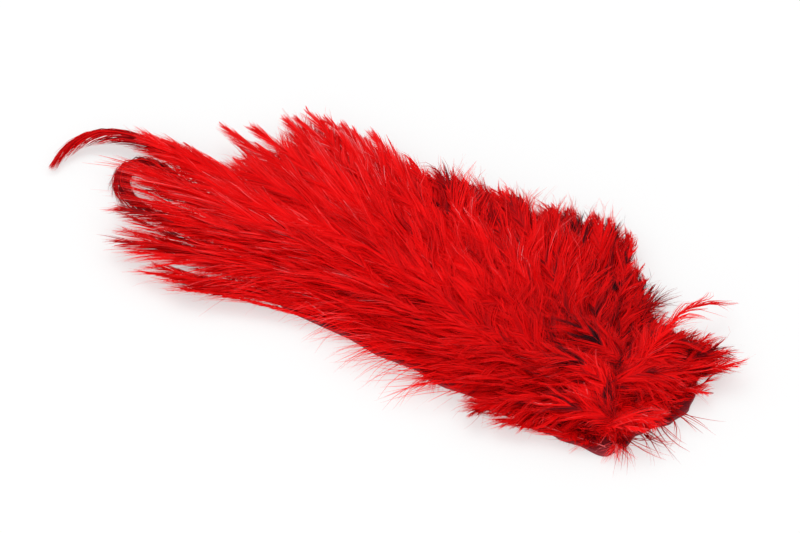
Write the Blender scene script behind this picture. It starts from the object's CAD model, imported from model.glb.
"""A dyed rooster cape: the tanned skin and its coat of feathers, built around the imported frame.

The frame gives every feather's place: where its quill stands on the skin, where its tip ends and
how wide its vane is. Each class here grows real feathers there, with a shaft and loose barbs.
"""

import logging
import math
from dataclasses import dataclass, field, replace
from enum import Enum
from typing import ClassVar

import bpy
import numpy as np
from bpy.types import Material, Node, NodeSocket, NodeTree, Object
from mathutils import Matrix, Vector
from numpy.random import Generator


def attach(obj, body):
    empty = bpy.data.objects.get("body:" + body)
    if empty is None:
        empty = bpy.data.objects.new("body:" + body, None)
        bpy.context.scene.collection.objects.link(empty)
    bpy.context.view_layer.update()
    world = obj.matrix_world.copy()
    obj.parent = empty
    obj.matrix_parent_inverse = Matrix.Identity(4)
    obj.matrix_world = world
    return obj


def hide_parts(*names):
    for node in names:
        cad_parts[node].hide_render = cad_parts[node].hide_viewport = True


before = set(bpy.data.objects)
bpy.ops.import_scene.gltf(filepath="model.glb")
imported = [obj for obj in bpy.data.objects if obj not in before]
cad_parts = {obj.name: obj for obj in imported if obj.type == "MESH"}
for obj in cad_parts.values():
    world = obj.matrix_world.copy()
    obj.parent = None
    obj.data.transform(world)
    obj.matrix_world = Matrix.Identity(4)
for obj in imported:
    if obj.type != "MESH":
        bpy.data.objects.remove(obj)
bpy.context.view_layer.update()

LOG = logging.getLogger("cape")
UV_NAME = "OFBake"
SKIN_TOP = 0.0014
ROOT_RISE = 0.00055          # a shaft starts this far above the skin
FOOT_SLICE = 0.0004          # what counts as a quill's foot, from its lowest point up
VANE_FLOOR = 0.0002          # barbs of a feather stay this far above the table
STRAND_FLOOR = 0.0003        # and loose strands this far
UP = np.array([0.0, 0.0, 1.0])
CROWN = np.array([0.095, -0.031])


# ---------------- small helpers


def deselect() -> None:
    """Leave edit mode and deselect everything, so that the next operator acts on its own piece."""
    if bpy.context.object is not None and bpy.context.object.mode != "OBJECT":
        bpy.ops.object.mode_set(mode="OBJECT")
    bpy.ops.object.select_all(action="DESELECT")


def smoothstep(low: float, high: float, x: float | np.ndarray) -> float | np.ndarray:
    """Ease from 0 at low to 1 at high."""
    t = np.clip((x - low) / (high - low), 0.0, 1.0)
    return t * t * (3.0 - 2.0 * t)


def unit(v: np.ndarray) -> np.ndarray:
    """Scale vectors along the last axis to length one."""
    return v / np.maximum(np.linalg.norm(v, axis=-1, keepdims=True), 1e-12)


def wander(rng: Generator, x: np.ndarray, waves: int, reach: float) -> np.ndarray:
    """A smooth random curve.

    Args:
        rng: Where the chances come from.
        x: Positions from 0 to 1.
        waves: How many swings there are over that length.
        reach: The largest value, either way.

    Returns:
        One value for each position.
    """
    knots = rng.uniform(-reach, reach, waves + 2)
    return np.interp(x * (waves + 1), np.arange(waves + 2), knots)


def follow(at: np.ndarray, run: np.ndarray, line: np.ndarray) -> np.ndarray:
    """Find points along a line.

    Args:
        at: Distances along it, of any shape.
        run: The distance of each of the line's own points.
        line: Those points, or anything else that is known at each of them.

    Returns:
        One point for each distance.
    """
    return np.stack([np.interp(at, run, line[:, i]) for i in range(line.shape[1])], axis=-1)


def across(path: np.ndarray, top: np.ndarray, roll: np.ndarray) -> np.ndarray:
    """Find which way each ribbon's breadth lies.

    Args:
        path: Each ribbon's middle line, (n, m, 3).
        top: The way that it faces before it rolls.
        roll: How far it rolls about its own run, in radians, (n,).

    Returns:
        The side direction at each point, (n, m, 3).
    """
    along = unit(np.gradient(path, axis=1))
    flat = unit(np.cross(top, along))
    roll = roll[:, None, None]
    return unit(flat * np.cos(roll) + np.cross(along, flat) * np.sin(roll))


# Edge of the coat seen from the crown: bearing in degrees, distance in metres
COAT_EDGE = np.array([
    (0, .020), (10, .021), (18, .022), (30, .026), (37, .035), (42, .047), (50, .044),
    (58, .043), (65, .040), (72, .040), (80, .038), (86, .039), (92, .046), (97, .045),
    (106, .056), (110, .080), (118, .087), (126, .093), (137, .107), (146, .126),
    (148, .150), (151, .170), (154, .176), (155.5, .169), (157, .165), (159, .159),
    (160, .164), (160.5, .180), (161.2, .180), (161.8, .168), (163, .166), (165.4, .172),
    (166.3, .214), (170, .210), (175, .200), (181, .188), (185, .172), (187.5, .162),
    (189.5, .112), (193, .090), (198, .083), (203, .068), (210, .054), (222, .047),
    (233, .038), (243, .031), (256, .026), (270, .025), (283, .024), (290, .022),
    (305, .020), (320, .020), (345, .021), (360, .022)])
# The near long edge, where the coat is cut in: X, and the least Y there
NEAR_EDGE = np.array([(-.082, -.050), (-.060, -.046), (-.050, -.041), (-.043, -.036),
                      (-.036, -.034), (-.022, -.033), (-.009, -.034), (.007, -.044),
                      (.018, -.050), (.026, -.048), (.032, -.049), (.047, -.058)])


def coat_limit(xy: np.ndarray) -> np.ndarray:
    """How far the coat reaches from the crown in the direction of each point."""
    out = xy - CROWN
    return np.interp(np.degrees(np.arctan2(out[..., 1], out[..., 0])) % 360.0,
                     COAT_EDGE[:, 0], COAT_EDGE[:, 1])


def past_near_edge(xy: np.ndarray) -> np.ndarray:
    """Measure how far points lie past the near long edge.

    Args:
        xy: The points.

    Returns:
        The distance for each, which is less than nothing where a point is inside.
    """
    gap = np.interp(xy[..., 0], NEAR_EDGE[:, 0], NEAR_EDGE[:, 1]) - xy[..., 1]
    inside = (xy[..., 0] > NEAR_EDGE[0, 0]) & (xy[..., 0] < NEAR_EDGE[-1, 0])
    return np.where(inside, gap, -1.0)


def mottle(xy: np.ndarray) -> np.ndarray:
    """Lay out patches a few millimetres across where the undyed dark pigment shows.

    Args:
        xy: Places on the skin.

    Returns:
        How much pigment shows at each, from 0 to 1.
    """
    x, y = xy[..., 0], xy[..., 1]
    v = (np.sin(430 * x + 1.3) * np.sin(520 * y + 0.7) + 0.7 * np.sin(760 * x - 410 * y + 2.1)
         + 0.5 * np.sin(290 * x + 930 * y + 4.0))
    return smoothstep(0.35, 1.35, v)


# ---------------- shader words


class Sock:
    """A shader socket that takes part in Python sums."""

    def __init__(self, tree: "Finish", socket: NodeSocket) -> None:
        """Keep the socket and the finish whose nodes it belongs to."""
        self.tree, self.socket = tree, socket

    def _math(self, how: str, a: object, b: object) -> "Sock":
        """Add one Math node."""
        return self.tree.node("ShaderNodeMath", {"operation": how}, {0: a, 1: b})

    def __add__(self, other: object) -> "Sock":
        """Sum."""
        return self._math("ADD", self, other)

    def __radd__(self, other: object) -> "Sock":
        """Sum, reflected."""
        return self._math("ADD", other, self)

    def __sub__(self, other: object) -> "Sock":
        """Difference."""
        return self._math("SUBTRACT", self, other)

    def __mul__(self, other: object) -> "Sock":
        """Product."""
        return self._math("MULTIPLY", self, other)


class Finish:
    """A material that is put together node by node."""

    def __init__(self, name: str) -> None:
        """Start an empty material with its shader and output."""
        self.material = bpy.data.materials.new(name)
        self.material.use_nodes = True
        self.nodes = self.material.node_tree.nodes
        self.links = self.material.node_tree.links
        self.nodes.clear()
        self.shader = self.nodes.new("ShaderNodeBsdfPrincipled")
        self.output = self.nodes.new("ShaderNodeOutputMaterial")
        self.links.new(self.shader.outputs[0], self.output.inputs["Surface"])

    def node(self, kind: str, settings: dict | None = None, inputs: dict | None = None,
             out: int | str = 0) -> Sock:
        """Add a node.

        Args:
            kind: The node's type name.
            settings: Its own settings; "stops" fills a colour ramp.
            inputs: Socket name or number to a value or another socket.
            out: Which output to hand back.

        Returns:
            The output socket.
        """
        made = self.nodes.new(kind)
        for key, value in (settings or {}).items():
            if key == "stops":
                ramp = made.color_ramp
                while len(ramp.elements) > 1:
                    ramp.elements.remove(ramp.elements[-1])
                for i, (at, colour) in enumerate(value):
                    stop = ramp.elements[0] if i == 0 else ramp.elements.new(at)
                    stop.position, stop.color = at, (*colour, 1.0)
            else:
                setattr(made, key, value)
        for key, value in (inputs or {}).items():
            if isinstance(value, Sock):
                self.links.new(value.socket, made.inputs[key])
            else:
                made.inputs[key].default_value = value
        return Sock(self, made.outputs[out])

    def set(self, **values: object) -> None:
        """Set or link the shader's own sockets.

        Args:
            values: Each socket's value or link; an underscore in its name stands for a space.
        """
        for key, value in values.items():
            socket = self.shader.inputs[key.replace("_", " ")]
            if isinstance(value, Sock):
                self.links.new(value.socket, socket)
            else:
                socket.default_value = value


# Shades of the dye along one scale, from undyed dark pigment to pale pink
DYE = [
    (0.00, (0.020, 0.0002, 0.0020)),
    (0.16, (0.090, 0.0002, 0.0030)),
    (0.32, (0.320, 0.0003, 0.0025)),
    (0.50, (0.660, 0.0004, 0.0015)),
    (0.68, (0.880, 0.0008, 0.0015)),
    (0.82, (0.960, 0.0080, 0.0090)),
    (0.92, (0.960, 0.0900, 0.1000)),
    (1.00, (0.960, 0.3600, 0.3800)),
]


@dataclass(frozen=True)
class FeatherFinish:
    """Dyed feather keratin. Its map's U is the shade of the dye and V runs out along a barb."""

    name: str
    roughness: float
    streaks: float

    def build(self) -> Material:
        """Make the material.

        Returns:
            The material.
        """
        f = Finish(self.name)
        uv = f.node("ShaderNodeUVMap", {"uv_map": UV_NAME})
        parts = f.node("ShaderNodeSeparateXYZ", inputs={0: uv})
        shade, run = parts, Sock(f, parts.socket.node.outputs[1])
        fine = f.node("ShaderNodeTexNoise", {"noise_dimensions": "2D"}, {
            "Vector": f.node("ShaderNodeMapping", inputs={
                "Vector": uv, "Scale": (160.0, 7.0, 1.0)}),
            "Scale": 1.0, "Detail": 3.0, "Roughness": 0.6})
        depth = shade + (fine - 0.5) * (2.0 * self.streaks) + (run - 0.45) * 0.05
        colour = f.node("ShaderNodeValToRGB", {"stops": DYE}, {"Fac": depth})
        f.set(Base_Color=colour, Roughness=self.roughness + (fine - 0.5) * 0.25,
              Specular_IOR_Level=0.08)
        return f.material


@dataclass(frozen=True)
class HideFinish:
    """Tanned bird hide, dyed dark red, with fine wrinkles and follicle bumps."""

    name: str = "dyed_hide"

    def build(self) -> Material:
        """Make the material.

        Returns:
            The material.
        """
        f = Finish(self.name)
        place = f.node("ShaderNodeTexCoord", out="Object")
        broad = f.node("ShaderNodeTexNoise", inputs={
            "Vector": place, "Scale": 55.0, "Detail": 5.0, "Roughness": 0.6})
        wrinkle = f.node("ShaderNodeTexNoise", inputs={
            "Vector": place, "Scale": 420.0, "Detail": 4.0, "Distortion": 1.2})
        bumps = f.node("ShaderNodeTexVoronoi", {"feature": "SMOOTH_F1"}, {
            "Vector": place, "Scale": 190.0})
        colour = f.node("ShaderNodeValToRGB", {"stops": [
            (0.25, (0.070, 0.004, 0.010)), (0.48, (0.190, 0.006, 0.014)),
            (0.66, (0.330, 0.020, 0.028)), (0.82, (0.420, 0.075, 0.080))]}, {
                "Fac": broad * 0.75 + wrinkle * 0.25})
        relief = f.node("ShaderNodeBump", inputs={
            "Strength": 0.5, "Distance": 0.0006, "Height": wrinkle * 0.6 + bumps * 0.7})
        f.set(Base_Color=colour, Roughness=0.55 + broad * 0.25, Normal=relief,
              Specular_IOR_Level=0.35)
        return f.material


# ---------------- where feathers stand


@dataclass(frozen=True)
class Stand:
    """One feather's place, as the frame has it."""

    root: np.ndarray
    tip: np.ndarray
    width: float

    @property
    def length(self) -> float:
        """Distance from quill to tip."""
        return float(np.linalg.norm(self.tip - self.root))

    @property
    def bearing(self) -> float:
        """Bearing of the quill from the crown, in degrees from 0 to 360."""
        out = self.root[:2] - CROWN
        return math.degrees(math.atan2(out[1], out[0])) % 360.0


def stands(node: str) -> list[Stand]:
    """Find each separate feather in a node of the frame.

    Args:
        node: The node's name.

    Returns:
        One Stand for each feather, in order of bearing.
    """
    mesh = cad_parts[node].data
    points = np.empty(len(mesh.vertices) * 3)
    mesh.vertices.foreach_get("co", points)
    points = points.reshape(-1, 3)
    mesh.calc_loop_triangles()
    tris = np.empty(len(mesh.loop_triangles) * 3, dtype=np.int64)
    mesh.loop_triangles.foreach_get("vertices", tris)
    _, first, joined = np.unique(np.round(points * 1e6).astype(np.int64), axis=0,
                                 return_index=True, return_inverse=True)
    points = points[first]
    tris = joined.reshape(-1)[tris].reshape(-1, 3)
    label = np.arange(len(points))
    edges = np.concatenate([tris[:, :2], tris[:, 1:]])
    while True:
        low = np.minimum(label[edges[:, 0]], label[edges[:, 1]])
        new = label.copy()
        np.minimum.at(new, edges[:, 0], low)
        np.minimum.at(new, edges[:, 1], low)
        new = new[new]
        if np.array_equal(new, label):
            break
        label = new
    found = []
    for one in np.unique(label):
        cloud = points[label == one]
        foot = cloud[cloud[:, 2] < cloud[:, 2].min() + FOOT_SLICE].mean(axis=0)
        root = np.array([foot[0], foot[1], SKIN_TOP + ROOT_RISE])
        away = np.linalg.norm(cloud[:, :2] - root[:2], axis=1)
        tip = cloud[away > away.max() - 1e-5].mean(axis=0)
        d = unit(tip[:2] - root[:2])
        side = (cloud[:, :2] - root[:2]) @ np.array([-d[1], d[0]])
        found.append(Stand(root, tip, float(side.max() - side.min())))
    return sorted(found, key=lambda s: (round(s.bearing, 3), round(s.length, 5)))


# ---------------- shapes made once


class Patterns:
    """The shapes that feathers repeat, each modelled once: a barb's ribbon and a shaft."""

    def __init__(self, steps: int = 4, rings: int = 14) -> None:
        """Model both.

        Args:
            steps: Lengths in a barb's ribbon.
            rings: Lengths in a shaft.
        """
        self.barb = self._barb(steps)
        self.shaft = self._shaft(rings)

    @staticmethod
    def _take(piece: Object) -> tuple[np.ndarray, list[tuple[int, ...]]]:
        """Read a modelled pattern, and remove its object.

        Args:
            piece: The pattern's object.

        Returns:
            Its points and its faces.
        """
        points = np.array([tuple(v.co) for v in piece.data.vertices])
        faces = [tuple(p.vertices) for p in piece.data.polygons]
        mesh = piece.data
        bpy.data.objects.remove(piece)
        bpy.data.meshes.remove(mesh)
        return points, faces

    def _barb(self, steps: int) -> tuple[np.ndarray, list[tuple[int, ...]]]:
        """Model a flat ribbon from x 0 to 1 that narrows to a fine end.

        Args:
            steps: Lengths in it.

        Returns:
            Its points and its faces, with y across from -0.5 to 0.5.
        """
        deselect()
        bpy.ops.mesh.primitive_grid_add(x_subdivisions=steps, y_subdivisions=1, size=1.0,
                                        location=(0.5, 0.0, 0.0))
        piece = bpy.context.object
        bpy.ops.object.transform_apply(location=True, rotation=True, scale=True)
        for i in range(steps + 1):
            x = i / steps
            keep = max(0.10, 1.0 - 0.9 * x ** 1.7)
            bpy.ops.object.mode_set(mode="EDIT")
            bpy.ops.mesh.select_all(action="DESELECT")
            bpy.ops.object.mode_set(mode="OBJECT")
            for v in piece.data.vertices:
                v.select = abs(v.co.x - x) < 1e-4
            bpy.ops.object.mode_set(mode="EDIT")
            bpy.ops.transform.resize(value=(1.0, keep, 1.0), center_override=(x, 0.0, 0.0))
        bpy.ops.object.mode_set(mode="OBJECT")
        return self._take(piece)

    def _shaft(self, rings: int) -> tuple[np.ndarray, list[tuple[int, ...]]]:
        """Model a tapered round shaft from x 0 to 1 with radius 1 at its root.

        Args:
            rings: Lengths in it.

        Returns:
            Its points and its faces, with y and z across.
        """
        deselect()
        bpy.ops.mesh.primitive_cone_add(vertices=6, radius1=1.0, radius2=0.12, depth=1.0,
                                        end_fill_type="NOTHING", location=(0.0, 0.0, 0.5))
        piece = bpy.context.object
        bpy.ops.object.transform_apply(location=True, rotation=True, scale=True)
        bpy.ops.object.mode_set(mode="EDIT")
        for i in range(1, rings):
            bpy.ops.mesh.select_all(action="SELECT")
            bpy.ops.mesh.bisect(plane_co=(0.0, 0.0, i / rings), plane_no=(0.0, 0.0, 1.0))
        bpy.ops.object.mode_set(mode="OBJECT")
        points, faces = self._take(piece)
        return points[:, [2, 0, 1]], faces


# ---------------- feathers


class Kind(Enum):
    """The kinds of feather on a cape."""

    CROWN = "crown"
    BODY = "body"
    HACKLE = "hackle"
    PLUME = "plume"
    DARK = "dark"


@dataclass(frozen=True)
class Cut:
    """How one kind of feather is made. Lengths are in metres and angles in degrees."""

    spread: float = 1.3          # vane's width over the solid vane's
    spacing: float = 0.00055     # between barbs along the shaft
    barb_w: float = 0.00050      # width of a barb's ribbon at its root
    near_angle: float = 46.0     # barb to shaft, near the quill
    far_angle: float = 20.0      # barb to shaft, near the tip
    curl: float = 0.45           # how far a barb turns back along the shaft
    clump: float = 0.5           # how strongly neighbours lie together
    group: int = 9               # barbs that lie together
    ragged: float = 0.22         # spread of the barbs' lengths
    ruffle: float = 0.0006       # how far barbs stand off the vane
    fluff: float = 0.25          # share of the shaft that carries down
    shaft_r: float = 0.00034
    bend: float = 0.05           # sideways bend of the shaft over its length
    droop: float = 0.55          # how far the tip comes down again
    wide: float = 0.5            # power of the vane's outline at its root
    fine: float = 0.72           # and at its tip
    roll: float = 0.6            # how far ribbons roll about their own run
    lean: float = 24.0           # how far the vane tips over, so that its outer half is on top
    stray: float = 9.0           # how far a lock turns off its neighbours' way
    wave: float = 0.02           # sideways waves of a barb, over its length
    tip_shade: float = 0.08      # how much lighter a barb's end is
    loose: float = 0.07          # share of barbs that stray past the coat's edge


CUTS = {
    Kind.CROWN: Cut(spread=2.1, near_angle=44, far_angle=24, curl=0.5, clump=0.55, group=13,
                    ragged=0.4, ruffle=0.0012, fluff=0.4, bend=0.20, droop=0.5, wide=0.4,
                    fine=0.5, spacing=0.00029, barb_w=0.00034, shaft_r=0.00016, lean=20,
                    stray=18, wave=0.07),
    Kind.BODY: Cut(spread=1.8, near_angle=37, far_angle=16, curl=0.45, clump=0.52, group=14,
                   ragged=0.36, ruffle=0.0010, fluff=0.3, bend=0.14, droop=0.55, wide=0.45,
                   fine=0.58, spacing=0.00031, barb_w=0.00034, shaft_r=0.00019, lean=22,
                   stray=14, wave=0.055),
    Kind.HACKLE: Cut(spread=1.35, near_angle=27, far_angle=9, curl=0.4, clump=0.5, group=12,
                     ragged=0.28, ruffle=0.0007, fluff=0.2, bend=0.07, droop=0.6,
                     spacing=0.00040, barb_w=0.00038, stray=6, wave=0.012),
    Kind.PLUME: Cut(spread=1.3, near_angle=30, far_angle=9, curl=0.3, clump=0.8, group=7,
                    ragged=0.45, ruffle=0.0016, fluff=0.6, bend=0.10, droop=0.55, wide=0.45,
                    fine=0.5, spacing=0.00075, barb_w=0.00034, shaft_r=0.00018, stray=15,
                    wave=0.07),
    Kind.DARK: Cut(spread=0.9, near_angle=17, far_angle=5, curl=0.7, clump=0.25, group=14,
                   ragged=0.12, ruffle=0.0002, fluff=0.05, bend=0.0, droop=0.0, lean=0,
                   stray=1, wave=0.0, spacing=0.00033, barb_w=0.00045, tip_shade=0.02),
}


@dataclass
class Bundle:
    """Points, faces and map that grow as strands are added, and end as one mesh."""

    patterns: Patterns
    points: list[np.ndarray] = field(default_factory=list)
    maps: list[np.ndarray] = field(default_factory=list)
    faces: list[np.ndarray] = field(default_factory=list)
    count: int = 0

    def _add(self, points: np.ndarray, maps: np.ndarray, faces: np.ndarray) -> None:
        """Keep n copies of a pattern of k points.

        Args:
            points: Every copy's points, (n, k, 3).
            maps: Every copy's map, (n, k, 2).
            faces: The faces of one copy.
        """
        n, k = points.shape[:2]
        starts = self.count + np.arange(n) * k
        self.points.append(points.reshape(-1, 3))
        self.maps.append(maps.reshape(-1, 2))
        self.faces.append((faces[None] + starts[:, None, None]).reshape(-1, faces.shape[1]))
        self.count += n * k

    def ribbons(self, run: np.ndarray, across: np.ndarray, width: np.ndarray,
                shade: np.ndarray, tip_shade: float) -> None:
        """Copy the barb's ribbon along many curves.

        Args:
            run: Each barb's middle line, (n, m, 3).
            across: Each barb's side direction at those points, (n, m, 3).
            width: Each ribbon's width at its root, (n,).
            shade: Each barb's shade of dye, (n,).
            tip_shade: How much lighter the shade gets towards the barb's end.
        """
        flat, quads = self.patterns.barb
        m = run.shape[1]
        at = flat[:, 0] * (m - 1)
        low = np.minimum(at.astype(int), m - 2)
        part = (at - low)[None, :, None]
        middle = run[:, low] * (1 - part) + run[:, low + 1] * part
        side = across[:, low] * (1 - part) + across[:, low + 1] * part
        points = middle + side * (flat[None, :, 1, None] * width[:, None, None])
        u = shade[:, None] + tip_shade * flat[None, :, 0] ** 1.5 + 0.012 * flat[None, :, 1]
        v = np.broadcast_to(0.03 + 0.94 * flat[None, :, 0], u.shape)
        maps = np.stack([np.clip(u, 0.015, 0.985) + 0.004 * flat[None, :, 1], v], axis=-1)
        self._add(points, maps, np.array(quads))

    def shafts(self, line: np.ndarray, radius: float, shade: float) -> None:
        """Copy the shaft along one curve.

        Args:
            line: The shaft's middle line, (m, 3).
            radius: Its radius at the quill.
            shade: Its shade of dye.
        """
        tube, quads = self.patterns.shaft
        m = len(line)
        at = tube[:, 0] * (m - 1)
        low = np.minimum(at.astype(int), m - 2)
        part = (at - low)[:, None]
        middle = line[low] * (1 - part) + line[low + 1] * part
        ahead = unit(line[low + 1] - line[low])
        side = unit(np.cross(UP, ahead))
        top = np.cross(ahead, side)
        points = middle + radius * (side * tube[:, 1:2] + top * tube[:, 2:3])
        around = np.arctan2(tube[:, 2], tube[:, 1]) / (2 * math.pi)
        maps = np.stack([np.clip(shade + 0.02 * around, 0.015, 0.985),
                         0.05 + 0.9 * tube[:, 0]], axis=-1)
        self._add(points[None], maps[None], np.array(quads))

    def mesh(self, name: str) -> Object:
        """Make one mesh from everything that was added.

        Args:
            name: The object's name.

        Returns:
            The object.
        """
        points = np.concatenate(self.points)
        maps = np.concatenate(self.maps)
        data = bpy.data.meshes.new(name)
        sizes = np.concatenate([np.full(len(f), f.shape[1]) for f in self.faces])
        corners = np.concatenate([f.reshape(-1) for f in self.faces])
        data.vertices.add(len(points))
        data.vertices.foreach_set("co", points.astype(np.float32).reshape(-1))
        data.loops.add(len(corners))
        data.loops.foreach_set("vertex_index", corners.astype(np.int32))
        data.polygons.add(len(sizes))
        data.polygons.foreach_set(
            "loop_start", np.concatenate([[0], np.cumsum(sizes)[:-1]]).astype(np.int32))
        data.polygons.foreach_set("use_smooth", np.ones(len(sizes), dtype=bool))
        layer = data.uv_layers.new(name=UV_NAME)
        layer.data.foreach_set("uv", maps[corners].astype(np.float32).reshape(-1))
        data.update(calc_edges=True)
        data.validate()
        piece = bpy.data.objects.new(name, data)
        bpy.context.scene.collection.objects.link(piece)
        return piece


@dataclass
class Feather:
    """One feather along a given shaft line."""

    FIRST_BARB: ClassVar[float] = 0.035      # where the vane starts along the shaft
    VANE_SHARE: ClassVar[float] = 0.955      # how much of the shaft it covers
    SPLIT_SHARE: ClassVar[float] = 0.06      # barbs where a lock breaks off
    LEAST_ANGLE: ClassVar[float] = math.radians(4)
    MOST_ANGLE: ClassVar[float] = math.radians(95)
    LONGEST: ClassVar[float] = 0.62          # a barb's greatest length over the shaft's
    SHORTEST: ClassVar[float] = 0.0012
    LOOSE_REACH: ClassVar[float] = 0.009     # how far loose barbs pass the coat's edge
    NEAR_REACH: ClassVar[float] = 0.007      # and the near long edge

    cut: Cut
    width: float
    shade: float
    dark_base: float = 0.0
    dark_tip: float = 0.0
    spot: float = 0.0
    spot_at: float = 0.45
    shaft_shade: float = 0.62
    patchy: float = 0.0
    trimmed: bool = True

    def outline(self, t: np.ndarray) -> np.ndarray:
        """Find the vane's outline.

        Args:
            t: Positions along the shaft, from 0 to 1.

        Returns:
            Half the vane's width at each, over its widest.
        """
        cut = self.cut
        peak = cut.wide / (cut.wide + cut.fine)
        best = (peak ** cut.wide) * ((1 - peak) ** cut.fine)
        return (t ** cut.wide) * ((1 - t) ** cut.fine) / best

    def tints(self, t: np.ndarray, lock: np.ndarray, rng: Generator) -> np.ndarray:
        """Each barb's shade of dye.

        Args:
            t: Where each barb leaves the shaft, from 0 to 1.
            lock: Which lock it lies in.
            rng: Where the chances come from.

        Returns:
            One shade for each barb.
        """
        count = lock.max() + 1
        blot = np.exp(-((t - self.spot_at) / 0.10) ** 2) * rng.uniform(0.3, 1.2, count)[lock]
        pale = 0.13 * (rng.random(len(t)) < 0.16)
        return (self.shade + pale + rng.normal(0, 0.045, count)[lock]
                + rng.normal(0, 0.035, len(t)) - self.dark_base * smoothstep(0.55, 0.2, t)
                - self.dark_tip * smoothstep(0.5, 0.85, t)
                - self.spot * blot - 0.10 * smoothstep(0.3, 0.0, t))

    def grow(self, line: np.ndarray, bundle: Bundle, rng: Generator,
             face: np.ndarray = UP) -> None:
        """Add the feather's shaft and barbs to a bundle.

        Args:
            line: The shaft's middle line from quill to tip, (m, 3).
            bundle: What it is added to.
            rng: Where the chances come from.
            face: The way that the vane faces.
        """
        cut = self.cut
        steps = np.linalg.norm(np.diff(line, axis=0), axis=1)
        run = np.concatenate([[0.0], np.cumsum(steps)])
        slope = np.gradient(line, run, axis=0)
        total = run[-1]
        bundle.shafts(line, cut.shaft_r * min(1.0, 0.55 + total / 0.09), self.shaft_shade)
        count = max(14, int(total * 0.97 / cut.spacing))
        own = float(rng.normal(0.02, 0.025))
        for sign in (-1.0, 1.0):
            t = np.clip(self.FIRST_BARB + self.VANE_SHARE * (
                np.arange(count) + rng.uniform(0, 0.8, count)) / count, 0.0, 0.992)
            base = follow(t * total, run, line)
            ahead = unit(follow(t * total, run, slope))
            side = unit(np.cross(face, ahead)) * sign
            top = unit(np.cross(ahead, side)) * sign
            down = smoothstep(cut.fluff, cut.fluff * 0.35, t)
            jump = np.cumsum(rng.random(count) < self.SPLIT_SHARE)
            _, lock = np.unique((np.arange(count) + rng.integers(0, cut.group)) // cut.group
                                + jump * count, return_inverse=True)
            lock = lock.reshape(-1)
            locks = lock.max() + 1
            angle = np.radians(cut.near_angle + (cut.far_angle - cut.near_angle) * t ** 0.8)
            angle = angle * (1 + wander(rng, t, 6, 0.18)) + np.radians(rng.normal(0, 2.5, count))
            angle = angle + down * np.radians(rng.normal(6, 13, count))
            angle = np.clip(angle, self.LEAST_ANGLE, self.MOST_ANGLE)
            mean = angle * (1 - 0.5 * cut.curl)
            length = 0.5 * self.width * cut.spread * self.outline(t) / np.sin(
                np.maximum(mean, math.radians(8)))
            length = length * (1 + rng.uniform(-cut.ragged, cut.ragged * 0.7, count))
            length = length * rng.uniform(0.85, 1.1, locks)[lock]
            length = np.minimum(length, self.LONGEST * total) * (1 + 0.35 * down)
            length = np.maximum(length, self.SHORTEST)[:, None, None]
            s = np.linspace(0.0, 1.0, 7)[None, :, None]
            off = np.radians(rng.normal(0, cut.stray, locks))[lock][:, None, None]
            turn = angle[:, None, None] * (1 - 0.5 * cut.curl * s) + off * (s - 0.3)
            ends = np.clip(t[:, None, None] * total + length * s * np.cos(turn), 0, None)
            over = np.maximum(ends - total, 0.0)
            within = np.minimum(ends, total)[..., 0]
            onward = unit(follow(within, run, slope))
            beside = unit(np.cross(face, onward)) * sign
            path = (follow(within, run, line) + over * onward
                    + length * s * np.sin(turn) * beside)
            phase = rng.uniform(0, 6.28, locks)[lock][:, None, None]
            path = path + cut.wave * length * s * np.sin(phase + 7.0 * s) * side[:, None]
            lift = (wander(rng, t, 9, 0.8) + rng.normal(0, 0.8, locks)[lock]
                    + rng.normal(0, 0.35, count)) * cut.ruffle * (1 + 1.2 * down)
            path = path + (lift[:, None, None] * s ** 1.4
                           - 0.10 * length * s ** 2) * top[:, None]
            centres = np.zeros((locks, *path.shape[1:]))
            np.add.at(centres, lock, path)
            centres /= np.bincount(lock)[:, None, None]
            pull = cut.clump * rng.uniform(0.5, 1.1, locks)[lock][:, None, None]
            path = path + (centres[lock] - path) * pull * s ** 1.5
            loose = rng.random(count) < cut.loose
            if self.trimmed:
                path = self.trim(path, loose, lock, rng, own)
            path[..., 2] = np.maximum(path[..., 2], VANE_FLOOR)
            breadth = across(path, top[:, None], rng.normal(0, cut.roll, count))
            wide = cut.barb_w * (1 - 0.4 * down) * rng.uniform(0.6, 1.3, count)
            wide = wide * (0.55 + 0.45 * smoothstep(1.0, 0.8, t)) * np.where(loose, 0.45, 1.0)
            head = smoothstep(-0.015, 0.05, base[:, 0])
            shade = self.tints(t, lock, rng) - self.patchy * head * mottle(base[:, :2])
            bundle.ribbons(path, breadth, wide, shade, cut.tip_shade)

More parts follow.
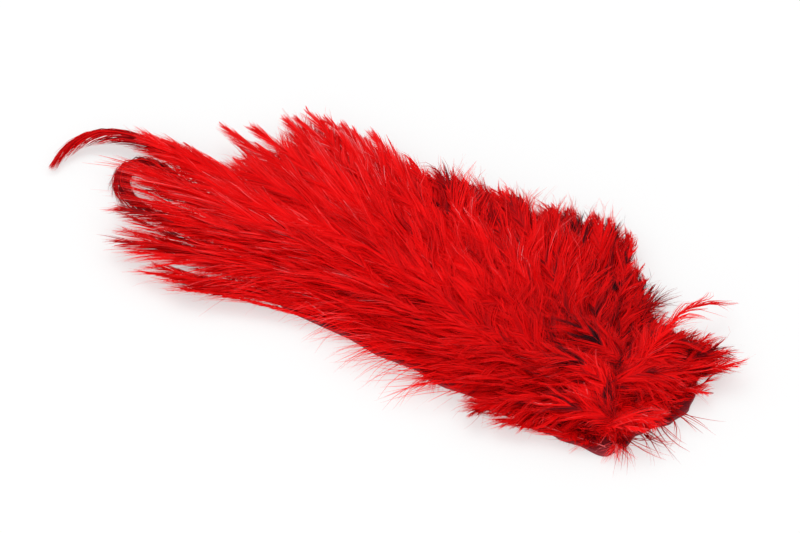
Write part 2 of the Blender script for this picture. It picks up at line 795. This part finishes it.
    @staticmethod
    def trim(path: np.ndarray, loose: np.ndarray, lock: np.ndarray, rng: Generator,
             own: float) -> np.ndarray:
        """Shorten barbs that would pass the coat's edge.

        Args:
            path: Each barb's middle line, (n, m, 3).
            loose: Which barbs may stray a few millimetres past it.
            lock: Which lock each barb lies in.
            rng: Where the chances come from.
            own: How much farther than the edge this feather may reach, as a share.

        Returns:
            The lines after shortening.
        """
        end, foot = path[:, -1, :2], path[:, 0, :2]
        edge = coat_limit(end) * (1 + own + rng.normal(0, 0.015, lock.max() + 1)[lock]
                                  + rng.normal(0, 0.012, len(lock)))
        edge = edge + np.where(loose, Feather.LOOSE_REACH, 0.0)
        past = np.linalg.norm(end - CROWN, axis=1) - edge
        gain = np.linalg.norm(end - CROWN, axis=1) - np.linalg.norm(foot - CROWN, axis=1)
        keep = np.clip(1.0 - past / np.maximum(gain, 0.002), 0.3, 1.0)
        keep = np.where(past < 0, 1.0, keep)
        low = past_near_edge(end) - np.where(loose, Feather.NEAR_REACH, 0.0) - rng.uniform(
            -0.001, 0.002, lock.max() + 1)[lock]
        drop = np.maximum(foot[:, 1] - end[:, 1], 0.0015)
        keep = np.where(low > 0, np.minimum(keep, np.clip(1 - low / drop, 0.15, 1)), keep)
        keep = keep[:, None, None]
        return path[:, :1] + (path - path[:, :1]) * keep


def shaft_line(root: np.ndarray, tip: np.ndarray, bend: float, droop: float,
               steps: int = 16) -> np.ndarray:
    """A natural shaft: it leaves the skin, rises, and comes over towards its tip.

    Args:
        root: Where the quill stands.
        tip: Where the straight feather would end.
        bend: Sideways bend at the tip, over the length.
        droop: How far the tip comes down again, over its rise.
        steps: Lengths in the line.

    Returns:
        Points from root to tip.
    """
    s = np.linspace(0.0, 1.0, steps + 1)[:, None]
    flat = tip - root
    rise = flat[2]
    flat = np.array([flat[0], flat[1], 0.0])
    side = np.array([-flat[1], flat[0], 0.0])
    lift = rise * ((1 + 0.45 * droop) * s - 0.95 * droop * s ** 2.4)
    return root + flat * s + side * bend * (s ** 2 - 0.35 * s) + UP * lift


@dataclass
class Growth:
    """A grown piece of the coat; its name is that of the node it replaces, if there is one."""

    name: str
    shade: float
    material: Material
    patterns: Patterns
    seed: int
    slot: str

    def finish(self, bundle: Bundle, name: str, body: str = "cape",
               node: str | None = None) -> Object:
        """Make the piece and tie it to the frame.

        Args:
            bundle: Everything that was grown.
            name: The piece's name.
            body: The body that it rides.
            node: The node that it replaces.

        Returns:
            The piece.
        """
        piece = bundle.mesh(name)
        piece.data.materials.append(self.material)
        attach(piece, body)
        if node is not None:
            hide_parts(node)
        LOG.info("%s: %d faces", piece.name, len(piece.data.polygons))
        return piece


@dataclass(kw_only=True)
class FeatherRow(Growth):
    """A ring of feathers on the skin, grown where the frame's feathers stand."""

    SWING: ClassVar[dict[Kind, float]] = {Kind.CROWN: 9.0, Kind.BODY: 5.5, Kind.HACKLE: 2.0}
    FIT_STEPS: ClassVar[int] = 22
    FIT_SHARE: ClassVar[float] = 0.965
    TURN_STEPS: ClassVar[int] = 14
    TURN: ClassVar[float] = math.radians(1.5)

    kind: Kind

    def tone(self, stand: Stand, rng: Generator) -> dict[str, float]:
        """How dark a feather is by its place.

        Args:
            stand: Its place.
            rng: Where the chances come from.

        Returns:
            The colour fields of a Feather.
        """
        x, y = stand.root[:2]
        head = smoothstep(-0.02, 0.05, x)
        far = head * smoothstep(-0.012, 0.03, y)
        calm = smoothstep(0.008, -0.022, y) * smoothstep(0.095, 0.070, x)
        mixed = head * (1.0 - 0.8 * calm)
        shade = self.shade + rng.normal(0, 0.03) - 0.13 * far
        base = rng.uniform(0.1, 0.3) * mixed if rng.random() < 0.25 + 0.3 * mixed else 0.0
        spot = rng.uniform(0.15, 0.45) if rng.random() < 0.04 + 0.3 * mixed else 0.0
        end = 0.0
        if stand.tip[0] < -0.045 and stand.tip[1] < -0.012 and rng.random() < 0.4:
            end = rng.uniform(0.12, 0.36)
        if far > 0.4 and rng.random() < 0.6:
            end = rng.uniform(0.12, 0.42)
        shade -= 0.055 * calm * head
        shade -= 0.13 * math.exp(-((x - 0.090) / 0.020) ** 2 - ((y + 0.012) / 0.020) ** 2)
        shade += 0.10 * smoothstep(0.098, 0.112, stand.tip[0])
        return {"shade": shade, "dark_base": base, "dark_tip": end, "spot": spot,
                "spot_at": rng.uniform(0.3, 0.75), "patchy": 0.42 + 0.1 * far - 0.33 * calm}

    def style(self, stand: Stand) -> Cut:
        """Change the row's cut for feathers at the two long edges.

        Args:
            stand: The feather's place.

        Returns:
            Its cut.
        """
        cut = CUTS[self.kind]
        if self.kind is Kind.HACKLE:
            if stand.bearing > 172.0:
                return replace(cut, near_angle=38, far_angle=16, stray=12, wave=0.03, loose=0.2)
            if stand.bearing < 156.0:
                return replace(cut, near_angle=20, far_angle=6, tip_shade=0.27, fine=1.15,
                               spread=1.15, ragged=0.16, stray=3)
        elif 95.0 < stand.bearing < 150.0:
            return replace(cut, tip_shade=0.19)
        return cut

    def face(self, stand: Stand, cut: Cut, rng: Generator) -> np.ndarray:
        """Find the way that a vane faces, with its outer half on its neighbour's inner half.

        Args:
            stand: The feather's place.
            cut: Its cut.
            rng: Where the chances come from.

        Returns:
            The direction.
        """
        d = unit(np.array([*(stand.tip - stand.root)[:2], 0.0]))
        left = np.array([-d[1], d[0], 0.0])
        outer = 1.0 if stand.bearing > 170.0 else -1.0
        lean = math.radians(cut.lean * rng.uniform(0.5, 1.3)) * outer
        return UP * math.cos(lean) - left * math.sin(lean)

    def build(self) -> Object:
        """Grow the row, and hand back its one mesh."""
        rng = np.random.default_rng(self.seed)
        bundle = Bundle(self.patterns)
        for stand in stands(self.name):
            cut = self.style(stand)
            swept = self.parting(stand) + math.radians(rng.normal(0, self.SWING[self.kind]))
            stand = self.fitted(self.settled(self.swung(stand, swept)), rng.normal(0.02, 0.03))
            stand = self.pressed(stand)
            line = shaft_line(stand.root, stand.tip, self.bow(stand) + rng.normal(0, cut.bend),
                              cut.droop * rng.uniform(0.7, 1.25))
            Feather(cut, stand.width, **self.tone(stand, rng)).grow(
                line, bundle, rng, self.face(stand, cut, rng))
            low = self.kind is Kind.HACKLE and stand.bearing > 168.0
            for _ in range(3 if self.kind is Kind.CROWN else 2 if low else 1):
                self.extra(stand, bundle, rng, cut)
        self.cover(bundle, rng)
        return self.finish(bundle, self.name.replace("_row", "") + "_coat", node=self.name)

    @staticmethod
    def fitted(stand: Stand, own: float) -> Stand:
        """Shorten a feather until its tip lies within the coat's edge.

        Args:
            stand: The feather's place.
            own: How much farther than the edge it may reach, as a share.

        Returns:
            The place with its new tip.
        """
        for _ in range(FeatherRow.FIT_STEPS):
            tip = stand.tip
            if np.linalg.norm(tip[:2] - CROWN) < coat_limit(tip[:2]) * (1.0 + own):
                break
            flat = (tip - stand.root) * FeatherRow.FIT_SHARE
            stand = replace(stand, tip=stand.root + flat)
        return stand

    def parting(self, stand: Stand) -> float:
        """Part the crown's feathers along a line.

        Args:
            stand: A feather's place.

        Returns:
            How far it turns, in radians.
        """
        if self.kind is not Kind.CROWN:
            return 0.0
        aim = math.degrees(math.atan2(*(stand.tip - stand.root)[[1, 0]])) % 360.0
        back = 168.0 if 75.0 < aim < 262.0 else (32.0 if aim <= 75.0 else 392.0)
        near = 0.45 * smoothstep(0.022, 0.006, np.linalg.norm(stand.root[:2] - CROWN))
        return math.radians((back - aim) * near)

    @staticmethod
    def pressed(stand: Stand) -> Stand:
        """Lay a feather at the near long edge lower, close to the table.

        Args:
            stand: Its place.

        Returns:
            The place with its new tip.
        """
        low = 1.0 - 0.55 * (smoothstep(174, 186, stand.bearing)
                            * smoothstep(0.03, 0.06, stand.length))
        rise = (stand.tip[2] - stand.root[2]) * low
        return replace(stand, tip=np.array([*stand.tip[:2], stand.root[2] + rise]))

    def settled(self, stand: Stand) -> Stand:
        """Turn a feather back until its tip lies within the near edge.

        Args:
            stand: Its place.

        Returns:
            The place with its new tip.
        """
        for _ in range(self.TURN_STEPS):
            if past_near_edge(stand.tip[:2]) < -0.001:
                break
            stand = self.swung(stand, -self.TURN)
        return stand

    @staticmethod
    def swung(stand: Stand, a: float) -> Stand:
        """Turn a feather about its quill.

        Args:
            stand: Its place.
            a: How far, in radians.

        Returns:
            The place with its new tip.
        """
        flat = stand.tip - stand.root
        turned = np.array([flat[0] * math.cos(a) - flat[1] * math.sin(a),
                           flat[0] * math.sin(a) + flat[1] * math.cos(a), flat[2]])
        return replace(stand, tip=stand.root + turned)

    def bow(self, stand: Stand) -> float:
        """Curve hackles at the two long edges outward.

        Args:
            stand: The feather's place.

        Returns:
            The sideways bend of its shaft over its length.
        """
        if self.kind is not Kind.HACKLE:
            return 0.0
        return (0.04 * smoothstep(176, 186, stand.bearing)
                - 0.15 * smoothstep(163, 155, stand.bearing))

    def cover(self, bundle: Bundle, rng: Generator) -> None:
        """Add nothing more; the middle of the crown does."""

    def extra(self, stand: Stand, bundle: Bundle, rng: Generator, cut: Cut) -> None:
        """Add the shorter feather that fills in beside each one.

        Args:
            stand: The place of the feather that it fills in beside.
            bundle: What it is added to.
            rng: Where the chances come from.
            cut: That feather's cut.
        """
        stand = self.settled(self.swung(stand, math.radians(
            rng.normal(0, 5.0 if self.kind is Kind.HACKLE else 13.0))))
        stand = self.fitted(stand, rng.normal(0.0, 0.03))
        flat = stand.tip - stand.root
        side = unit(np.array([-flat[1], flat[0], 0.0])) * rng.uniform(-0.003, 0.003)
        root = stand.root + side
        line = shaft_line(root, root + flat * rng.uniform(0.6, 0.9), self.bow(stand)
                          + rng.normal(0, cut.bend * 1.3), cut.droop * rng.uniform(0.3, 1.0))
        loose = replace(cut, ragged=cut.ragged * 1.3, spacing=cut.spacing * 1.4)
        Feather(loose, stand.width * rng.uniform(0.8, 1.1), **self.tone(stand, rng)).grow(
            line, bundle, rng, self.face(stand, cut, rng))


@dataclass(kw_only=True)
class Whorl(FeatherRow):
    """The middle of the crown, where short feathers cross over one another and hide the skin."""

    crossing: int = 44
    cross_width: float = 0.0066
    cross_lift: float = 0.0025

    def cover(self, bundle: Bundle, rng: Generator) -> None:
        """Add feathers that start on one side of the middle and lie across it.

        Args:
            bundle: What they are added to.
            rng: Where the chances come from.
        """
        cut = replace(CUTS[Kind.CROWN], spread=2.2)
        for k in range(self.crossing):
            back = k % 5 < 3
            heading = math.radians((168 if back else 28) + rng.normal(0, 24))
            way = np.array([math.cos(heading), math.sin(heading)])
            place = rng.uniform(-0.017, 0.020)
            middle = CROWN + np.array([-0.2 * place, place]) + rng.normal(0, 0.002, 2)
            root = np.array([*(middle - way * rng.uniform(0.001, 0.007)),
                             SKIN_TOP + self.cross_lift])
            long = rng.uniform(0.015, 0.023)
            rise = long * math.tan(math.radians(rng.uniform(18, 30)))
            tip = root + np.array([*(way * long), rise])
            stand = Stand(root, tip, self.cross_width)
            line = shaft_line(root, tip, rng.normal(0, 0.2), rng.uniform(0.4, 0.9))
            Feather(cut, stand.width, **self.tone(stand, rng)).grow(line, bundle, rng)


@dataclass(kw_only=True)
class EdgeHackles(Growth):
    """Single hackles clear of the coat along the far long edge; a place is X, Y and tip X, Y."""

    places: list[tuple[float, float, float, float]]
    root_z: float = 0.0065
    tip_z: float = 0.0095
    width: float = 0.0052

    def build(self) -> Object:
        """Grow them from quill to tip.

        Returns:
            Their one mesh.
        """
        rng = np.random.default_rng(self.seed)
        bundle = Bundle(self.patterns)
        cut = replace(CUTS[Kind.HACKLE], near_angle=20, far_angle=5, tip_shade=0.22, fine=1.2,
                      spread=1.0, ragged=0.15, stray=2, clump=0.3, loose=0.02, lean=0,
                      spacing=0.00034, barb_w=0.00030)
        for x, y, tip_x, tip_y in self.places:
            root, tip = np.array([x, y, self.root_z]), np.array([tip_x, tip_y, self.tip_z])
            bend = rng.uniform(-0.24, -0.15)
            way = tip - root
            tip = tip - 0.65 * bend * np.array([-way[1], way[0], 0.0])
            line = shaft_line(root, tip, bend, 0.4)
            Feather(cut, self.width, self.shade + rng.normal(0, 0.02), shaft_shade=0.55,
                    trimmed=False).grow(line, bundle, rng)
        return self.finish(bundle, self.name)


@dataclass(kw_only=True)
class Strands(Growth):
    """Loose single barbs."""

    TIP_SHADE: ClassVar[float] = 0.10

    strands: int

    def strew(self, start: np.ndarray, heading: np.ndarray, long: np.ndarray,
              rise: np.ndarray, roll: np.ndarray, width: np.ndarray,
              shade: np.ndarray) -> Bundle:
        """Grow n strands of m points each.

        Args:
            start: Where each one starts, (n, 3).
            heading: Its heading at each point, in radians, (n, m).
            long: Its length, (n,).
            rise: How far each point lies above the start, (n, m).
            roll: How far its ribbon rolls, in radians, (n,).
            width: Its ribbon's width, (n,).
            shade: Its shade of dye, (n,).

        Returns:
            All of them.
        """
        step = (long / (heading.shape[1] - 1))[:, None]
        x = np.cumsum(np.cos(heading) * step, axis=1) - np.cos(heading[:, :1]) * step
        y = np.cumsum(np.sin(heading) * step, axis=1) - np.sin(heading[:, :1]) * step
        path = start[:, None] + np.stack([x, y, rise], axis=-1)
        path[..., 2] = np.maximum(path[..., 2], STRAND_FLOOR)
        bundle = Bundle(self.patterns)
        bundle.ribbons(path, across(path, UP, roll), width, shade, self.TIP_SHADE)
        return bundle


@dataclass(kw_only=True)
class Fringe(Strands):
    """Loose curved strands that start along a line at the edge of the coat."""

    starts: list[tuple[float, float]]
    heading: tuple[float, float]
    length: tuple[float, float]
    curl: float
    width: float = 0.0003
    height: float = 0.003

    def build(self) -> Object:
        """Grow the strands, in bunches of about five.

        Returns:
            Their one mesh.
        """
        rng = np.random.default_rng(self.seed)
        n = self.strands
        bunches = max(3, n // 5)
        bunch = rng.integers(0, bunches, n)
        knots = np.array(self.starts)
        at = (len(knots) - 1) * np.clip(
            rng.random(bunches)[bunch] + rng.normal(0, 0.02, n), 0, 1)
        start = np.column_stack([follow(at, np.arange(len(knots)), knots),
                                 rng.uniform(0.0012, self.height, n)])
        a = np.radians(rng.uniform(*self.heading, bunches)[bunch])
        bow = rng.normal(0, self.curl, bunches)[bunch] + rng.normal(0, 0.15, n)
        long = rng.uniform(*self.length, n)
        s = np.linspace(0, 1, 9)[None, :]
        heading = a[:, None] + rng.normal(0, 0.13, n)[:, None] + bow[:, None] * s ** 1.3
        rise = rng.uniform(0.0, 0.5, n)[:, None] * long[:, None] * (s - 1.1 * s ** 2)
        return self.finish(self.strew(
            start, heading, long, rise, rng.normal(0, 0.9, n),
            self.width * rng.uniform(0.5, 1.3, n),
            self.shade + rng.normal(0, 0.07, n)), self.name)


@dataclass(kw_only=True)
class SingleFeather(Growth):
    """A feather that turns on its own, along a line in its own sloping plane."""

    kind: Kind
    way: list[tuple[float, float]] | None = None
    heading: float = 180.0
    dark_tip: float = 0.0
    shaft_shade: float = 0.7
    width: float | None = None
    rise: float = 0.001
    climb: float = 0.012
    spot: float = 0.0
    spot_at: float = 0.5

    def line(self, stand: Stand) -> np.ndarray:
        """Find the shaft's line: straight to the tip, or along way.

        Args:
            stand: The feather's place.

        Returns:
            Points from quill to tip. Those of way are in metres ahead and to the left.
        """
        if self.way is None:
            return shaft_line(stand.root, stand.tip, 0.02, CUTS[self.kind].droop)
        knots = np.array(self.way)
        at = np.linspace(0, len(knots) - 1, 40)
        smooth = follow(at, np.arange(len(knots)), knots)
        for _ in range(12):
            smooth[1:-1] = (smooth[:-2] + 2 * smooth[1:-1] + smooth[2:]) / 4
        turn = math.radians(self.heading)
        ahead = np.array([math.cos(turn), math.sin(turn)])
        left = np.array([-ahead[1], ahead[0]])
        xy = stand.root[:2] + smooth[:, :1] * ahead + smooth[:, 1:] * left
        along = np.linspace(0.0, 1.0, len(smooth))
        z = (stand.root[2] + self.rise * np.sin(math.pi * along ** 0.9)
             + self.climb * smooth[:, 0])
        return np.column_stack([xy, z])

    def build(self) -> Object:
        """Grow the feather.

        Returns:
            Its one mesh.
        """
        rng = np.random.default_rng(self.seed)
        bundle = Bundle(self.patterns)
        stand = stands(self.name)[0]
        Feather(CUTS[self.kind], self.width or stand.width, self.shade,
                dark_tip=self.dark_tip, spot=self.spot, spot_at=self.spot_at,
                shaft_shade=self.shaft_shade, trimmed=False).grow(self.line(stand), bundle, rng)
        return self.finish(bundle, self.name + "_vane", body=self.name, node=self.name)


@dataclass(kw_only=True)
class Tuft(Strands):
    """Loose barbs and down that spring from one quill at the edge of the skin."""

    length: float
    fan: float
    curl: float = 0.5

    def build(self) -> Object:
        """Grow the tuft.

        Returns:
            Its one mesh.
        """
        rng = np.random.default_rng(self.seed)
        stand = stands(self.name)[0]
        aim = math.atan2(*(stand.tip - stand.root)[[1, 0]])
        n = self.strands
        angle = aim + np.radians(rng.normal(0, self.fan / 2.2, n))
        bow = rng.normal(0, self.curl, n)
        long = self.length * rng.uniform(0.45, 1.1, n)
        s = np.linspace(0, 1, 7)[None, :]
        rise = rng.uniform(-0.1, 0.45, n)[:, None] * long[:, None] * (s - 0.9 * s ** 2)
        start = stand.root[None] + rng.normal(0, 0.0006, (n, 3)) * np.array([1, 1, 0.3])
        return self.finish(self.strew(
            start, angle[:, None] + bow[:, None] * s, long, rise, rng.normal(0, 0.8, n),
            rng.uniform(0.00018, 0.0004, n), self.shade + rng.normal(0, 0.06, n)),
            self.name + "_barbs", node=self.name)


# ---------------- the whole cape


@dataclass
class Cape:
    """The skin and all its feathers."""

    patterns: Patterns

    def dress_skin(self) -> None:
        """Give the frame's skin its hide."""
        hide = HideFinish().build()
        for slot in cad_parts["skin"].material_slots:
            slot.material = hide

    def build(self) -> None:
        """Grow every row, the single feathers and the tufts."""
        soft = FeatherFinish("dyed_body_feather", 0.60, 0.10).build()
        sleek = FeatherFinish("dyed_hackle", 0.48, 0.09).build()
        dark = FeatherFinish("dyed_dark_hackle", 0.42, 0.08).build()
        self.dress_skin()
        self.rows(soft, sleek)
        self.single_feathers(soft, dark)
        self.loose_barbs(soft, sleek, dark)

    def rows(self, soft: Material, sleek: Material) -> None:
        """Grow the crown's middle and every ring about it.

        Args:
            soft: The finish of the crown and body feathers.
            sleek: The finish of the hackles.
        """
        Whorl("crown_whorl", 0.62, soft, self.patterns, 10, "crown_feathers",
              kind=Kind.CROWN).build()
        for kind, rings, shade, finish, seed, slot in (
                (Kind.CROWN, 4, 0.61, soft, 10, "crown_feathers"),
                (Kind.BODY, 6, 0.64, soft, 20, "body_feathers"),
                (Kind.HACKLE, 9, 0.67, sleek, 30, "hackles")):
            for n in range(1, rings + 1):
                FeatherRow(f"{kind.value}_row_{n}", shade, finish, self.patterns, seed + n,
                           slot, kind=kind).build()

    def single_feathers(self, soft: Material, dark: Material) -> None:
        """Grow the five feathers that turn on their own.

        Args:
            soft: The finish of the crown and body feathers.
            dark: The finish of the two dark hackles.
        """
        p = self.patterns
        SingleFeather("crown_feather", 0.62, soft, p, 51, "crown_feathers",
                      kind=Kind.CROWN).build()
        SingleFeather("head_plume", 0.68, soft, p, 52, "plume", kind=Kind.PLUME,
                      way=[(0, 0), (0.020, 0.0008), (0.038, 0.0004), (0.050, -0.0020)],
                      heading=78.0, rise=0.008, climb=0.14).build()
        SingleFeather("curled_hackle", 0.47, dark, p, 53, "dark_hackles", kind=Kind.DARK,
                      way=[(0, 0), (0.023, 0), (0.046, -0.0004), (0.060, -0.0008),
                           (0.070, -0.0006), (0.0785, 0.0026), (0.084, 0.0082),
                           (0.0862, 0.0160), (0.085, 0.0248)],
                      heading=171.6, width=0.0085, rise=0.0040, spot=0.23,
                      spot_at=0.56).build()
        SingleFeather("looped_hackle", 0.29, dark, p, 54, "dark_hackles", kind=Kind.DARK,
                      way=[(0, 0), (0.025, -0.0012), (0.042, -0.0040), (0.0535, -0.0066),
                           (0.0595, -0.0062), (0.0628, -0.0026), (0.0625, 0.0026),
                           (0.0598, 0.0080), (0.0550, 0.0118), (0.0485, 0.0132),
                           (0.0425, 0.0120)],
                      heading=165.0, width=0.0100, rise=0.0015).build()
        SingleFeather("corner_feather", 0.68, soft, p, 55, "body_feathers", kind=Kind.BODY,
                      way=[(0, 0), (0.015, 0.0012), (0.030, 0.0008), (0.046, -0.0012)],
                      dark_tip=0.25, shaft_shade=0.95, width=0.0052).build()

    def loose_barbs(self, soft: Material, sleek: Material,
                    dark: Material) -> None:
        """Grow what stands clear of the coat's edges: hackles, strands and tufts.

        Args:
            soft: The finish of the crown and body feathers.
            sleek: The finish of the hackles.
            dark: The finish of the dark down.
        """
        p = self.patterns
        EdgeHackles("far_edge_hackles", 0.70, sleek, p, 75, "hackles", places=[
            (-0.050, 0.022, -0.0853, 0.0319), (-0.046, 0.027, -0.0755, 0.0360),
            (-0.037, 0.033, -0.0672, 0.0445), (-0.034, 0.036, -0.0640, 0.0470),
            (-0.032, 0.038, -0.0611, 0.0516), (-0.028, 0.038, -0.0540, 0.0512),
            (-0.023, 0.037, -0.0471, 0.0503), (-0.014, 0.037, -0.0354, 0.0513),
            (-0.018, 0.036, -0.0420, 0.0490)]).build()
        Fringe("near_edge_barbs", 0.72, soft, p, 71, "body_feathers", strands=420,
               starts=[(-0.044, -0.033), (-0.030, -0.029), (-0.009, -0.030),
                       (0.007, -0.038), (0.022, -0.044), (0.045, -0.053)],
               heading=(196.0, 240.0), length=(0.009, 0.024), curl=0.3, width=0.00026,
               height=0.008).build()
        Fringe("tail_barbs", 0.60, sleek, p, 74, "hackles", strands=150,
               starts=[(-0.077, 0.006), (-0.083, -0.002), (-0.084, -0.008)],
               heading=(158.0, 186.0), length=(0.014, 0.027), curl=0.2, height=0.007).build()
        Fringe("head_edge_barbs", 0.38, soft, p, 72, "crown_feathers", strands=55,
               starts=[(0.104, -0.049), (0.110, -0.043), (0.113, -0.035), (0.115, -0.027)],
               heading=(292.0, 358.0), length=(0.009, 0.019), curl=0.9, width=0.00036).build()
        Fringe("far_corner_barbs", 0.26, soft, p, 73, "crown_feathers", strands=60,
               starts=[(0.078, 0.014), (0.087, 0.010)], heading=(62.0, 105.0),
               length=(0.006, 0.012), curl=1.0, width=0.00040, height=0.006).build()
        for name, shade, finish, seed, slot, strands, length, fan in (
                ("edge_tuft", 0.22, dark, 61, "dark_down", 90, 0.017, 46),
                ("down_tuft", 0.66, soft, 62, "down", 110, 0.013, 60),
                ("corner_tuft", 0.85, soft, 63, "down", 70, 0.010, 60)):
            Tuft(name, shade, finish, p, seed, slot, strands=strands, length=length,
                 fan=fan).build()


@dataclass
class Studio:
    """A pale floor, soft lights and the camera."""

    azimuth: float = 25.6
    elevation: float = 42.0
    distance: float = 2.0
    frame_width: float = 0.2759
    film: float = 36.0
    floor_size: float = 12.0
    floor_gap: float = 0.0002
    backlight: float = 0.5
    sky: float = 0.82

    @staticmethod
    def show_white(tree: NodeTree, lit: Node, white: Node, output: Node,
                   share: float) -> None:
        """Let the viewer see white mixed over a lit surface, with no more light on the cape.

        Args:
            tree: The node tree that all of them are in.
            lit: The surface as the lamps light it.
            white: The white that is mixed over it.
            output: The tree's output.
            share: How much of the white the viewer sees, from 0 to 1.
        """
        rays = tree.nodes.new("ShaderNodeLightPath")
        total = rays.outputs["Is Camera Ray"]
        for name in ("Is Glossy Ray", "Is Transmission Ray"):
            both = tree.nodes.new("ShaderNodeMath")
            both.operation, both.use_clamp = "ADD", True
            tree.links.new(total, both.inputs[0])
            tree.links.new(rays.outputs[name], both.inputs[1])
            total = both.outputs[0]
        part, mix = tree.nodes.new("ShaderNodeMath"), tree.nodes.new("ShaderNodeMixShader")
        part.operation = "MULTIPLY"
        part.inputs[1].default_value = share
        tree.links.new(total, part.inputs[0])
        tree.links.new(part.outputs[0], mix.inputs["Fac"])
        tree.links.new(lit.outputs[0], mix.inputs[1])
        tree.links.new(white.outputs[0], mix.inputs[2])
        tree.links.new(mix.outputs[0], output.inputs["Surface"])

    def floor(self) -> None:
        """Lay the floor, just under the skin."""
        deselect()
        bpy.ops.mesh.primitive_plane_add(size=self.floor_size,
                                         location=(0.0, 0.0, -self.floor_gap))
        ground = bpy.context.object
        ground.name = "floor"
        f = Finish("studio_floor")
        f.set(Base_Color=(0.93, 0.93, 0.93, 1.0), Roughness=0.9, Specular_IOR_Level=0.0)
        white = f.nodes.new("ShaderNodeEmission")
        self.show_white(f.material.node_tree, f.shader, white, f.output, self.backlight)
        ground.data.materials.append(f.material)

    def lamp(self, name: str, place: tuple[float, float, float], size: float,
             power: float) -> None:
        """Hang one soft square lamp that faces the cape.

        Args:
            name: Its name.
            place: Where it hangs.
            size: Its side.
            power: Its power in watts.
        """
        data = bpy.data.lights.new(name, "AREA")
        data.shape, data.size, data.energy = "SQUARE", size, power
        lamp = bpy.data.objects.new(name, data)
        lamp.location = place
        lamp.rotation_euler = (-Vector(place)).to_track_quat("-Z", "Y").to_euler()
        bpy.context.scene.collection.objects.link(lamp)

    def world(self) -> None:
        """Light the scene softly from all round, before a white backdrop."""
        world = bpy.data.worlds.new("soft_sky")
        world.use_nodes = True
        tree = world.node_tree
        lit, white = tree.nodes["Background"], tree.nodes.new("ShaderNodeBackground")
        for back, power in ((lit, self.sky), (white, 1.0)):
            back.inputs["Color"].default_value = (1.0, 1.0, 1.0, 1.0)
            back.inputs["Strength"].default_value = power
        self.show_white(tree, lit, white, tree.nodes["World Output"], 1.0)
        bpy.context.scene.world = world

    def camera(self) -> None:
        """Set the camera at the viewing angle."""
        a, e = math.radians(self.azimuth), math.radians(self.elevation)
        out = Vector((math.sin(a) * math.cos(e), -math.cos(a) * math.cos(e), math.sin(e)))
        data = bpy.data.cameras.new("camera")
        data.sensor_width = self.film
        data.lens = self.film * self.distance / self.frame_width
        data.clip_end = 20.0
        cam = bpy.data.objects.new("camera", data)
        cam.location = out * self.distance
        cam.rotation_euler = (-out).to_track_quat("-Z", "Y").to_euler()
        bpy.context.scene.collection.objects.link(cam)
        bpy.context.scene.camera = cam

    def build(self) -> None:
        """Set everything up."""
        bpy.context.scene.view_settings.view_transform = "Standard"
        self.floor()
        self.lamp("key", (-0.4, 0.5, 1.4), 1.1, 5.0)
        self.lamp("fill", (0.3, -1.4, 0.7), 1.4, 8.5)
        self.world()
        self.camera()


def main() -> None:
    """Build the studio and the cape."""
    logging.basicConfig(level=logging.INFO, format="%(name)s: %(message)s")
    Studio().build()
    Cape(Patterns()).build()


if __name__ == "__main__":
    main()
